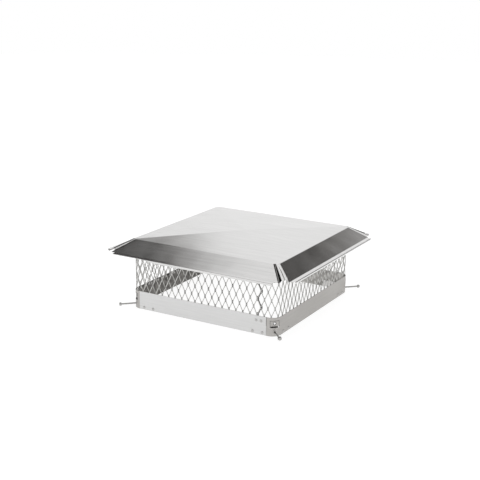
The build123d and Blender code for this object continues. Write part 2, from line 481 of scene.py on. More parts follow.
@dataclass
class FoldedLid:
    """The lid: a cross-broken top, four skirts with a drip flange and hem, and corner pleats.

    Sizes are in millimetres. The notch, its floor mark and the groove are shares across a pleat
    from the skirt before the corner, or from the one after it on the mirrored sides. The tuck
    is the stretch of the front hem, along X, over which it is folded up. The foot's room is how
    far past the skirt's foot, outwards and down, the section still counts as skirt.
    """

    crease_half: float = 170.0
    crease_z: float = 148.5
    crown_rise: float = 6.0
    skirt_out: float = 38.5
    skirt_drop: float = 22.0
    spans: tuple[SkirtSpan, ...] = (
        SkirtSpan(24.0, 22.0, 15.0, 13.0), SkirtSpan(25.0, 14.0, 15.0, 9.0),
        SkirtSpan(28.0, 24.0, 27.0, 15.0), SkirtSpan(24.0, 23.0, 15.0, 20.0),
    )
    lip_out: float = 10.0
    lip_fall: float = 0.8
    hem_back: float = 3.5
    hem_drop: float = 5.5
    crease_bend: float = 6.0
    lip_bend: float = 1.4
    sheet: float = 0.8
    pleat_setback: float = 9.0
    pleat_share: float = 0.87
    pleat_depth: float = 6.5
    groove_depth: float = 1.2
    notch: tuple[float, float, float] = (0.1, 0.27, 0.42)
    # The floor mark starts the notch floor's lighter painted shade.
    floor_mark: float = 0.18
    groove: tuple[float, float, float] = (0.66, 0.71, 0.76)
    ripple: float = 0.25
    ripple_scales: Pair = (0.014, 0.031)
    foot_room: Pair = (0.5, 0.3)
    top_steps: int = 22
    skirt_steps: int = 12
    side_steps: int = 36
    merge: float = 0.0005
    mirrored: tuple[Side, ...] = (Side.RIGHT,)
    tuck: Pair = (-125.0, -85.0)
    tuck_lift: float = 4.4
    finish: StainlessFinish = field(default=LID_STEEL)

    def profile(self) -> list[Pair]:
        """Work out one side's section from the middle out, with its bends rounded.

        Returns:
            Points as (distance out, height) in millimetres.
        """
        out = self.crease_half + self.skirt_out
        low = self.crease_z - self.skirt_drop
        corners = [
            (0.0, self.crease_z + self.crown_rise),
            (self.crease_half, self.crease_z),
            (out, low),
            (out + self.lip_out, low - self.lip_fall),
            (out + self.lip_out - self.hem_back, low - self.lip_fall - self.hem_drop),
        ]
        radii = (self.crease_bend, self.lip_bend, self.lip_bend)
        points = [corners[0]]
        for before, here, after, radius in zip(corners, corners[1:], corners[2:], radii):
            points += self.rounded(Vector(before), Vector(here), Vector(after), radius)
        return [*points, corners[-1]]

    @staticmethod
    def rounded(
        before: Vector, here: Vector, after: Vector, radius: float, steps: int = 6
    ) -> list[Pair]:
        """Replace a corner of the section by an arc.

        Args:
            before: the point before the corner.
            here: the corner.
            after: the point after it.
            radius: the bend's radius.
            steps: how many straight pieces the arc gets.

        Returns:
            The arc's points.
        """
        into = (here - before).normalized()
        away = (after - here).normalized()
        turn = into.angle(away)
        reach = radius * math.tan(turn / 2)
        start = here - into * reach
        bend = math.copysign(1.0, into.x * away.y - into.y * away.x)
        side = Vector((-into.y, into.x)) * bend
        centre = start + side * radius
        spoke = start - centre
        arc = []
        for step in range(steps + 1):
            angle = bend * turn * step / steps
            arc.append(tuple(centre + Vector((
                spoke.x * math.cos(angle) - spoke.y * math.sin(angle),
                spoke.x * math.sin(angle) + spoke.y * math.cos(angle),
            ))))
        return arc

    @property
    def marks(self) -> list[float]:
        """Shares across a pleat at which its folds and its mirror image's folds lie."""
        half = {0.0, 0.5, self.floor_mark, *self.notch, *self.groove}
        return sorted({round(share, 4) for mark in half for share in (mark, 1.0 - mark)})

    def half_width(self, out: float, overrun: float) -> float:
        """Work out half a side's length at a distance out.

        Args:
            out: the distance from the middle.
            overrun: how far the skirt runs past the crease's end.

        Returns:
            Half the length in millimetres.
        """
        mitre = self.crease_half - self.pleat_setback / 2
        if out <= mitre:
            return out
        if out <= self.crease_half:
            return 2 * mitre - out
        share = min((out - self.crease_half) / self.skirt_out, 1.0)
        return self.crease_half - self.pleat_setback + share * (overrun + self.pleat_setback)

    def depth_at(self, share: float, along: float) -> float:
        """Work out how deep the pleat lies.

        Args:
            share: the share across it.
            along: the share along it, from the crease down.

        Returns:
            The depth in millimetres.
        """
        foot, floor, rise = self.notch
        first, middle, last = self.groove
        if share < foot:
            shape = share / foot
        elif share < floor:
            shape = 1.0
        elif share < rise:
            shape = (rise - share) / (rise - floor)
        else:
            shape = 0.0
        dip = 1.0 - abs(share - middle) / (last - middle) if first < share < last else 0.0
        dip = max(0.0, dip)
        return along * (shape * self.pleat_depth + dip * self.groove_depth)

    def rows(self) -> tuple[list[Pair], list[Pair]]:
        """Choose the rows of the sheet, as (distance out, height).

        Returns:
            The rows from the middle to the foot of the skirt, and those of the flange and hem.
        """
        section = self.profile()
        far = self.crease_half + self.skirt_out + self.foot_room[0]
        low = self.crease_z - self.skirt_drop - self.foot_room[1]
        upper = [point for point in section if point[0] <= far and point[1] > low]
        lower = section[len(upper) - 1:]

        def height(out: float) -> float:
            """Work out the upper section's height.

            Args:
                out: the distance from the middle.

            Returns:
                The height in millimetres.
            """
            for (x0, z0), (x1, z1) in zip(upper, upper[1:]):
                if x0 <= out <= x1:
                    return z0 + (z1 - z0) * (out - x0) / max(x1 - x0, 1e-9)
            return upper[-1][1]

        crease, setback = self.crease_half, self.pleat_setback
        top, skirt = self.top_steps, self.skirt_steps
        outs = {point[0] for point in upper}
        outs |= {crease * step / top for step in range(top)}
        outs -= {out for out in outs if crease - setback / 2 < out < crease}
        outs |= {crease - setback * mark for mark in self.marks if mark <= 0.5}
        outs |= {crease + self.skirt_out * step / skirt for step in range(1, skirt)}
        outs.add(crease + self.skirt_out * self.pleat_share)
        return [(out, height(out)) for out in sorted(outs)], lower

    def tucked(self, place: Vector) -> float:
        """Work out how far the front hem is folded up, as it is at its left end.

        Args:
            place: a point of the front side's flange or hem.

        Returns:
            The lift in millimetres.
        """
        low = self.crease_z - self.skirt_drop - self.lip_fall
        along = min(max((self.tuck[1] - place.x) / (self.tuck[1] - self.tuck[0]), 0.0), 1.0)
        down = min(max((low - place.z) / self.hem_drop, 0.0), 1.0)
        return self.tuck_lift * along * along * (3 - 2 * along) * down

    def surface(self) -> bmesh.types.BMesh:
        """Build the outer face of the whole sheet.

        Returns:
            The open sheet in millimetres, its normals pointing out.
        """
        work = bmesh.new()
        upper, lower = self.rows()
        for side, span in zip(Side, self.spans):
            left, right = self.crease_half + span.start, self.crease_half + span.end
            inner_left = -(self.crease_half + span.lip_start) / left
            inner_right = (self.crease_half + span.lip_end) / right
            width, steps = inner_right - inner_left, self.side_steps
            inner = [inner_left + width * step / steps for step in range(steps + 1)]
            across = [-1.0, (inner_left - 1.0) / 2, *inner, (inner_right + 1.0) / 2, 1.0]

            def strip(rows: Sequence[Pair], shares: Sequence[float], full: bool) -> None:
                """Lay a grid of faces over rows and columns.

                Args:
                    rows: the rows as (distance out, height).
                    shares: the columns as shares of half the side's length.
                    full: whether the rows keep the skirt's full length.
                """
                grid = []
                for out, z in rows:
                    ends = (left, right)
                    if not full:
                        ends = [self.half_width(out, run) for run in (span.start, span.end)]
                    places = [Vector((share * ends[share > 0], -out, z)) for share in shares]
                    if full and side is Side.FRONT:
                        for place in places:
                            place.z += self.tucked(place)
                    grid.append([work.verts.new(turned(place, side.value)) for place in places])
                for low, high in zip(grid[1:], grid):
                    for column in range(len(shares) - 1):
                        after = column + 1
                        work.faces.new((low[column], low[after], high[after], high[column]))

            strip(upper, across, False)
            strip(lower, inner, True)
        skirt = [row for row in upper if row[0] >= self.crease_half]
        for side, before, after in zip(Side, self.spans, (*self.spans[1:], self.spans[0])):
            self.pleat(work, skirt, side, before.end, after.start)
        bmesh.ops.remove_doubles(work, verts=work.verts, dist=self.merge)
        bmesh.ops.dissolve_degenerate(work, edges=work.edges, dist=self.merge)
        return work

    def pleat(
        self, work: bmesh.types.BMesh, rows: Sequence[Pair], side: Side,
        before: float, after: float,
    ) -> None:
        """Fold one corner pleat between two skirts.

        Args:
            work: the mesh that the pleat joins.
            rows: the skirt's rows as (distance out, height), from the crease down.
            side: the side before the corner.
            before: how far the skirt before the corner runs past its crease.
            after: how far the skirt after it does.
        """
        near, gap = 1e-6, 0.001
        start, end = self.crease_half, self.crease_half + self.skirt_out * self.pleat_share
        run = (self.skirt_out + (before + after) / 2 + self.pleat_setback) / math.sqrt(2)
        slope = math.atan2(self.skirt_drop, run)
        diagonal = Vector((1.0, -1.0, 0.0)).normalized()
        down = -(diagonal * math.sin(slope) + Vector((0.0, 0.0, math.cos(slope))))
        section = {round(out, 6): z for out, z in self.rows()[0]}
        grid = []
        for out, z in rows:
            if out > end + near:
                break
            first = Vector((self.half_width(out, before), -out, z))
            last = Vector((out, -self.half_width(out, after), z))
            along = (out - start) / (end - start)
            line = []
            for share in self.marks:
                place = first.lerp(last, share)
                if out <= start + near:
                    place.z = section[round(start - self.pleat_setback * min(share, 1 - share), 6)]
                across = 1.0 - share if side in self.mirrored else share
                place += down * self.depth_at(across, along)
                line.append(work.verts.new(turned(place, side.value)))
            grid.append(line)
        # Faces of each notch get painted shade: its walls the darkest, its floor a lighter one.
        _, floor, rise = self.notch
        for high, low in zip(grid, grid[1:]):
            for left, (start_mark, end_mark) in enumerate(zip(self.marks, self.marks[1:])):
                face = work.faces.new((low[left], low[left + 1], high[left + 1], high[left]))
                share = 1.0 - end_mark if side in self.mirrored else start_mark
                if share < rise - gap:
                    on_floor = self.floor_mark - gap < share < floor - gap
                    face.material_index = 2 if on_floor else 1

    def build(self) -> bpy.types.Object:
        """Build the lid as one closed sheet.

        Returns:
            The finished piece.
        """
        work = self.surface()
        broad, close = self.ripple_scales
        for vert in work.verts:
            slow = noise.noise(vert.co * broad) + 0.5 * noise.noise(vert.co * close)
            vert.co.z -= self.ripple * (1.0 + slow) * 0.5
            vert.co *= MM
        # Slots 1 and 2 hold the painted shade of the pleats' notches.
        mesh = mesh_of(work, "lid_sheet", self.finish, FOLD_PAINTED_SHADE, FOLD_FLOOR_PAINTED_SHADE)
        sheet = make_object("lid_sheet_open", mesh)
        wall = sheet.modifiers.new("wall", "SOLIDIFY")
        wall.thickness = self.sheet * MM
        wall.offset = -1.0
        wall.use_even_offset = True
        piece = baked(sheet, "lid_sheet")
        soften(piece.data, sharp_degrees=24.0)
        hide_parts("lid")
        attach(piece, BODY)
        return piece


# ---- the screen ----


@dataclass
class ExpandedScreen:
    """The screen: strands of expanded metal wrapped round the opening, with a lapped seam.

    Sizes are in millimetres, and the tilt of a strand is in radians. The bond's shares are its
    half width and half height in strand widths, and its thickness in strand thicknesses. The lap
    repeats columns of the same lattice, started further along the strip and set inwards, in a
    near-black painted shade for the shade between the two layers.
    """

    half: float = 169.8
    corner_radius: float = 18.3
    wall_columns: int = 38
    corner_columns: int = 4
    rows: int = 8
    diamond_height: float = 33.5
    first_bond_z: float = 39.0
    floor_z: float = 32.5
    top_z: float = 146.9
    strand_width: float = 1.9
    strand_thickness: float = 1.1
    strand_tilt: float = 0.45
    strand_edge: float = 0.3
    bond_shares: tuple[float, float, float] = (0.82, 2.0, 1.15)
    lap_first: int = 1
    lap_columns: int = 1
    lap_start: float = 122.1
    lap_depth: float = -1.2
    lap_strand_width: float = 2.9
    finish: StainlessFinish = field(default=SCREEN_STEEL)

    def tree(self) -> TreeBuilder:
        """Make the tree that lays strands and bonds on a lattice and bends it round the path.

        Returns:
            The tree, with its sizes as named inputs.
        """
        bond_width, bond_height, bond_thickness = self.bond_shares
        edge = self.strand_edge * MM
        t = TreeBuilder("expanded_metal")
        half, radius = t.size("Half Side", 0.17), t.size("Corner Radius", 0.018)
        columns, rows = t.size("Columns", 168, "Int"), t.size("Rows", 8, "Int")
        skipped = t.size("First Column", 0, "Int")
        step, rise = t.size("Half Pitch", 0.008), t.size("Half Height", 0.01675)
        wall, bend = t.size("Wall Columns", 38, "Int"), t.size("Corner Columns", 4, "Int")
        start, base = t.size("Start", 0.0), t.size("Base Height", 0.02)
        low, high = t.size("Low Trim", 0.0), t.size("High Trim", 1.0)
        width, thick = t.size("Strand Width", 0.0019), t.size("Strand Thickness", 0.0011)
        depth, tilt = t.size("Depth", 0.0), t.size("Strand Tilt", 0.5)
        material = t.size("Material", kind="Material")

        index = t.out("GeometryNodeInputIndex")
        count = t.times(columns, rows)
        place = t.math("FLOOR", t.over(t.plus(index, 0.5), rows))
        row = t.minus(index, t.times(place, rows))
        column = t.plus(place, skipped)
        odd = t.math("FLOORED_MODULO", t.plus(column, row), 2.0)
        even = t.minus(1.0, odd)
        first = t.math("COMPARE", row, 0.0, 0.1)
        last = t.math("COMPARE", row, t.minus(rows, 1.0), 0.1)
        begin = t.times(first, low)
        cut = t.times(last, t.minus(1.0, high))
        end = t.minus(1.0, cut)
        middle = t.times(t.plus(begin, end), 0.5)
        share = t.minus(end, begin)
        rest = t.minus(1.0, middle)
        lean = t.plus(t.times(even, middle), t.times(odd, rest))
        along = t.times(t.plus(column, lean), step)
        up = t.plus(base, t.times(t.plus(row, middle), rise))
        spot = t.vector(along, 0.0, up)
        places = t.out("GeometryNodePoints", {"Count": count, "Position": spot})

        line = t.out("GeometryNodeCurvePrimitiveLine", {
            "Start": (0.0, 0.0, -0.5), "End": (0.0, 0.0, 0.5),
        })
        line = t.out("GeometryNodeResampleCurve", {"Curve": line, "Count": 5})
        section = t.rounded_box(width, thick, edge, 1)
        turn = t.out("GeometryNodeTransform", {
            "Geometry": section, "Rotation": t.vector(0.0, 0.0, tilt),
        })
        bar = t.out("GeometryNodeCurveToMesh", {
            "Curve": line, "Profile Curve": turn, "Fill Caps": True,
        })
        slope = t.math("ARCTAN2", step, rise)
        sign = t.minus(t.times(even, 2.0), 1.0)
        square = t.plus(t.times(step, step), t.times(rise, rise))
        reach = t.math("SQRT", square)
        size = t.vector(1.0, 1.0, t.times(reach, share))
        strands = t.out("GeometryNodeInstanceOnPoints", {
            "Points": places, "Instance": bar,
            "Rotation": t.vector(0.0, t.times(slope, sign), 0.0), "Scale": size,
        })

        level = t.plus(row, 1.0)
        node_up = t.plus(base, t.times(level, rise))
        node_along = t.times(t.plus(column, even), step)
        spot = t.vector(node_along, 0.0, node_up)
        knots = t.out("GeometryNodePoints", {"Count": count, "Position": spot})
        knots = t.out("GeometryNodeDeleteGeometry", {"Geometry": knots, "Selection": last})
        plate = t.out("GeometryNodeMeshCylinder", {
            "Vertices": 8, "Radius": 1.0, "Depth": t.times(thick, bond_thickness),
        })
        wide, tall = t.times(width, bond_width), t.times(width, bond_height)
        plate = t.out("GeometryNodeTransform", {
            "Geometry": plate, "Rotation": (math.pi / 2, 0.0, 0.0),
            "Scale": t.vector(wide, tall, 1.0),
        })
        bonds = t.out("GeometryNodeInstanceOnPoints", {"Points": knots, "Instance": plate})

        both = t.add("GeometryNodeJoinGeometry")
        t.group.links.new(strands, both.inputs[0])
        t.group.links.new(bonds, both.inputs[0])
        flat = t.out("GeometryNodeRealizeInstances", {0: both.outputs[0]})

        span = t.times(half, 2.0)
        path = t.rounded_box(span, span, radius, 8)
        here = t.place()
        quarter = t.times(t.out("GeometryNodeCurveLength", {0: path}), 0.25)
        side = t.plus(wall, bend)
        count_along = t.plus(t.over(here[0], step), start)
        turns = t.math("FLOOR", t.over(count_along, side))
        past = t.minus(count_along, t.times(turns, side))
        arc = t.minus(quarter, t.times(wall, step))
        in_arc = t.times(t.math("MINIMUM", t.over(past, bend), 1.0), arc)
        in_wall = t.times(t.math("MAXIMUM", t.minus(past, bend), 0.0), step)
        on_side = t.plus(in_arc, in_wall)
        before = t.times(t.math("FLOORED_MODULO", turns, 4.0), quarter)
        length = t.plus(before, on_side)
        sample = t.add("GeometryNodeSampleCurve", {"Curves": path, "Length": length}, mode="LENGTH")

        def combine(operation: str, inputs: dict) -> Socket:
            """Add a Vector Math node and return its vector."""
            return t.out("ShaderNodeVectorMath", inputs, operation=operation)

        across = combine("CROSS_PRODUCT", {0: sample.outputs["Tangent"], 1: (0.0, 0.0, 1.0)})
        shift = combine("SCALE", {0: across, "Scale": t.plus(here[1], depth)})
        lift = combine("ADD", {0: shift, 1: t.vector(0.0, 0.0, here[2])})
        final = combine("ADD", {0: sample.outputs["Position"], 1: lift})
        bent = t.out("GeometryNodeSetPosition", {"Geometry": flat, "Position": final})
        t.finish(t.out("GeometryNodeFlipFaces", {"Mesh": bent}), material)
        return t

    def build(self) -> list[bpy.types.Object]:
        """Build the screen and the lapped end of its strip.

        Returns:
            The finished pieces.
        """
        tree = self.tree()
        rise = self.diamond_height / 2
        base = self.first_bond_z - rise
        common = {
            "Half_Side": self.half * MM, "Corner_Radius": self.corner_radius * MM,
            "Rows": self.rows,
            "Half_Pitch": 2 * (self.half - self.corner_radius) / self.wall_columns * MM,
            "Half_Height": rise * MM, "Base_Height": base * MM,
            "Wall_Columns": self.wall_columns, "Corner_Columns": self.corner_columns,
            "Low_Trim": (self.floor_z - base) / rise,
            "High_Trim": (self.top_z - base - (self.rows - 1) * rise) / rise,
            "Strand_Thickness": self.strand_thickness * MM, "Strand_Tilt": self.strand_tilt,
        }
        around = 4 * (self.wall_columns + self.corner_columns)
        screen = tree.run(
            "screen_strands", Columns=around, First_Column=0, Start=0.0, Depth=0.0,
            Strand_Width=self.strand_width * MM, Material=self.finish.build(), **common,
        )
        # The lapped strands are coloured with painted shade.
        lap = tree.run(
            "screen_lap", Columns=self.lap_columns, First_Column=self.lap_first,
            Start=self.lap_start, Depth=self.lap_depth * MM,
            Strand_Width=self.lap_strand_width * MM, Material=SEAM_PAINTED_SHADE.build(), **common,
        )
        for piece in (screen, lap):
            soften(piece.data, sharp_degrees=40.0)
            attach(piece, BODY)
        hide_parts("mesh_screen")
        return [screen, lap]


# ---- the band ----


@dataclass
class BaseBand:
    """The band: its sheet with painted shade on its inner faces and painted light on its front
    wall, and the rivets, lugs, bars of painted shade and eyelets on it.

    Sizes are in millimetres. A bar of painted shade is given by its two ends and its two heights.
    The ends are angles from the corner's diagonal in radians, or distances along the front wall.
    """

    half: float = 171.5
    corner_radius: float = 20.0
    rivet_z: float = 4.6
    rivet_setbacks: Pair = (31.0, 53.0)
    lap_rivet_z: float = 28.5
    lap_rivet_setbacks: Pair = (34.0, 45.0)
    rivet_radius: float = 3.1
    rivet_height: float = 1.3
    lug_diagonal: float = 226.55
    lug_width: float = 17.0
    lug_low: float = 13.0
    lug_high: float = 19.2
    lug_sheet: float = 1.2
    lug_gap: float = 0.05
    lug_cut: float = 1.5
    lug_bevel: float = 0.25
    seam: float = 149.4
    plate_face: float = 232.2
    spare_hole_z: float = 26.0
    eyelet_radii: Pair = (2.2, 3.35)
    eyelet_reach: Pair = (-0.7, 0.15)
    eyelet_sides: int = 20
    # The bars are painted shade along the pressed flats' edges and the lap's end.
    top_shade_bar_steps: int = 10
    shade_bar_skin: Pair = (-0.1, 0.22)
    top_shade_bar: tuple[Pair, Pair] = ((-0.49, 0.49), (31.45, 32.1))
    left_shade_bar: tuple[Pair, Pair] = ((-0.50, -0.465), (17.5, 31.4))
    right_shade_bar: tuple[Pair, Pair] = ((0.465, 0.49), (20.5, 31.4))
    seam_shade_bar: tuple[Pair, Pair] = ((148.9, 149.7), (21.0, 38.3))

    def sheet_piece(self, node: bpy.types.Object) -> bpy.types.Object:
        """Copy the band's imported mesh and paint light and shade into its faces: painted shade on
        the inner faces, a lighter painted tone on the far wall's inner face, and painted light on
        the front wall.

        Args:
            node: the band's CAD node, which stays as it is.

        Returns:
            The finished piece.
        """
        work = bmesh.new()
        work.from_mesh(node.data)
        bmesh.ops.remove_doubles(work, verts=work.verts, dist=0.001 * MM)
        mesh = mesh_of(
            work, "band_sheet", BAND_STEEL_PAINTED_SHADE, INNER_PAINTED_SHADE, FAR_INNER_PAINTED_LIGHT, FRONT_BAND_PAINTED_LIGHT
        )
        piece = make_object("band_sheet", mesh)
        soften(mesh, sharp_degrees=30.0)
        straight = (self.half - self.corner_radius) * MM
        # Inner faces get painted shade, lighter on the far wall; the front wall's outer face up to
        # the seam gets painted light.
        slanted, diagonal, square = 0.3, 0.7, 0.99
        for face in mesh.polygons:
            flat = Vector((face.center.x, face.center.y, 0.0))
            outward = face.normal.dot(flat.normalized())
            if outward < -slanted:
                face.material_index = 2 if face.normal.y < -diagonal else 1
            elif outward > slanted and face.normal.y < -square:
                if -straight < face.center.x < self.seam * MM:
                    face.material_index = 3
        return piece

    def rivet_places(self) -> list[tuple[Vector, Vector]]:
        """List each rivet's seat, in millimetres, and the way it faces.

        Returns:
            Pairs of a seat and an outward direction.
        """
        wall, ahead = -self.half, Vector((0.0, -1.0, 0.0))
        places = []
        for side in Side:
            for setback in self.rivet_setbacks:
                for hand in (-1.0, 1.0):
                    seat = Vector((hand * (self.half - setback), wall, self.rivet_z))
                    places.append((seat, side.value))
        for setback in self.lap_rivet_setbacks:
            places.append((Vector((self.half - setback, wall, self.lap_rivet_z)), Side.FRONT.value))
        return [(turned(place, turn), turned(ahead, turn)) for place, turn in places]

    def rivets(self) -> bpy.types.Object:
        """Set domed rivet heads on the band.

        Returns:
            The finished piece.
        """
        seats = self.rivet_places()
        mesh = bpy.data.meshes.new("rivet_seats")
        mesh.from_pydata([tuple(place * MM) for place, _ in seats], [], [])
        facing = mesh.attributes.new("facing", "FLOAT_VECTOR", "POINT")
        for item, (_, way) in zip(facing.data, seats):
            item.vector = way
        t = TreeBuilder("rivet_heads")
        t.group.interface.new_socket(name="Seats", in_out="INPUT", socket_type="NodeSocketGeometry")
        radius, height = t.size("Radius", 0.003), t.size("Height", 0.0013)
        material = t.size("Material", kind="Material")
        dome = t.out("GeometryNodeMeshUVSphere", {"Segments": 14, "Rings": 8, "Radius": 1.0})
        size = t.vector(radius, radius, height)
        dome = t.out("GeometryNodeTransform", {"Geometry": dome, "Scale": size})
        named = {"Name": "facing"}
        way = t.out("GeometryNodeInputNamedAttribute", named, data_type="FLOAT_VECTOR")
        turn = t.out("FunctionNodeAlignRotationToVector", {"Vector": way}, axis="Z")
        heads = t.out("GeometryNodeInstanceOnPoints", {
            "Points": t.entry.outputs["Seats"], "Instance": dome, "Rotation": turn,
        })
        t.finish(heads, material)
        return t.run(
            "band_rivets", mesh, Radius=self.rivet_radius * MM, Height=self.rivet_height * MM,
            Material=RIVET_STEEL.build(),
        )

    def lugs(self) -> bpy.types.Object:
        """Stand a small tongue on each corner bracket, behind the band's slot.

        Returns:
            The finished piece.
        """
        work = bmesh.new()
        half, cut, low, high = self.lug_width / 2, self.lug_cut, self.lug_low, self.lug_high
        outline = [
            (-half, low), (half, low), (half, high - cut),
            (half - cut, high), (cut - half, high), (-half, high - cut),
        ]
        for corner in Corner:
            rings = []
            for reach in (self.lug_gap, self.lug_sheet):
                points = [Vector((self.lug_diagonal + reach, x, z)) for x, z in outline]
                rings.append([work.verts.new(turned(point, corner.value) * MM) for point in points])
            skin(work, rings)
        edges = list(work.edges)
        bmesh.ops.bevel(work, geom=edges, offset=self.lug_bevel * MM, segments=2, affect="EDGES")
        bmesh.ops.remove_doubles(work, verts=work.verts, dist=0.01 * MM)
        bmesh.ops.recalc_face_normals(work, faces=work.faces)
        return make_object("bracket_lugs", mesh_of(work, "bracket_lugs", BRACKET_STEEL))

    def on_arc(self, angle: float, depth: float, z: float) -> Vector:
        """Place a point on the arc of the corner that the X axis goes through.

        Args:
            angle: its angle from the diagonal, in radians.
            depth: how far it stands out from the band's face.
            z: its height.

        Returns:
            The point, before the corner's turn.
        """
        centre = (self.half - self.corner_radius) * math.sqrt(2)
        reach = self.corner_radius + depth
        return Vector((centre + reach * math.cos(angle), reach * math.sin(angle), z))

    def on_wall(self, along: float, depth: float, z: float) -> Vector:
        """Place a point on the front wall."""
        return Vector((along, -self.half - depth, z))

    def shade_bar(
        self, work: bmesh.types.BMesh, turn: float, place: Callable[[float, float, float], Vector],
        ends_heights: tuple[Pair, Pair], steps: int = 1,
    ) -> None:
        """Close a thin dark bar of painted shade along the band's face.

        Args:
            work: the mesh that the bar joins.
            turn: the bar's turn about the vertical axis, in degrees.
            place: puts a point on the face, by its station, its height above the face and its z.
            ends_heights: the bar's two ends and its two heights.
            steps: how many straight pieces it has.
        """
        (start, end), (low, high) = ends_heights
        under, over = self.shade_bar_skin
        section = [(under, low), (over, low), (over, high), (under, high)]
        rings = []
        for step in range(steps + 1):
            station = start + (end - start) * step / steps
            points = [place(station, depth, z) for depth, z in section]
            rings.append([work.verts.new(turned(point, turn) * MM) for point in points])
        skin(work, rings)

    def eyelet(self, work: bmesh.types.BMesh, turn: float) -> None:
        """Line a spare clamp hole with the ring that the punch turned in, dark with painted shade.

        Args:
            work: the mesh that the ring joins.
            turn: the heading of the hole's diagonal, in degrees.
        """
        (inner, outer), (back, front) = self.eyelet_radii, self.eyelet_reach
        spokes = [2 * math.pi * step / self.eyelet_sides for step in range(self.eyelet_sides)]
        rings = []
        for radius, proud in ((outer, front), (outer, back), (inner, back), (inner, front)):
            points = [
                Vector((self.plate_face + proud, radius * math.cos(angle),
                        self.spare_hole_z + radius * math.sin(angle)))
                for angle in spokes
            ]
            rings.append([work.verts.new(turned(point, turn) * MM) for point in points])
        skin(work, rings, closed=True)

    def shade_bars(self) -> bpy.types.Object:
        """Line the pressed flats, their spare holes and the lap's end with dark bars and rings of
        painted shade.

        Returns:
            The finished piece.
        """
        work = bmesh.new()
        for corner in Corner:
            self.eyelet(work, corner.value)
            self.shade_bar(work, corner.value, self.on_arc, self.top_shade_bar, self.top_shade_bar_steps)
            self.shade_bar(work, corner.value, self.on_arc, self.left_shade_bar)
            self.shade_bar(work, corner.value, self.on_arc, self.right_shade_bar)
        self.shade_bar(work, Side.FRONT.value, self.on_wall, self.seam_shade_bar)
        bmesh.ops.recalc_face_normals(work, faces=work.faces)
        return make_object("press_shade_bars", mesh_of(work, "press_shade_bars", SEAM_PAINTED_SHADE))

    def build(self, node: bpy.types.Object) -> list[bpy.types.Object]:
        """Build the band's pieces.

        Args:
            node: the band's CAD node.

        Returns:
            The finished pieces.
        """
        sheet, rivets = self.sheet_piece(node), self.rivets()
        lugs, shade_bars = self.lugs(), self.shade_bars()
        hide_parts("base_band")
        slots = ((sheet, "band"), (rivets, "fastener"), (lugs, "bracket"), (shade_bars, "band"))
        for piece, slot in slots:
            soften(piece.data, sharp_degrees=35.0)
            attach(piece, BODY)
        return [sheet, rivets, lugs, shade_bars]


# ---- the clamp screws ----


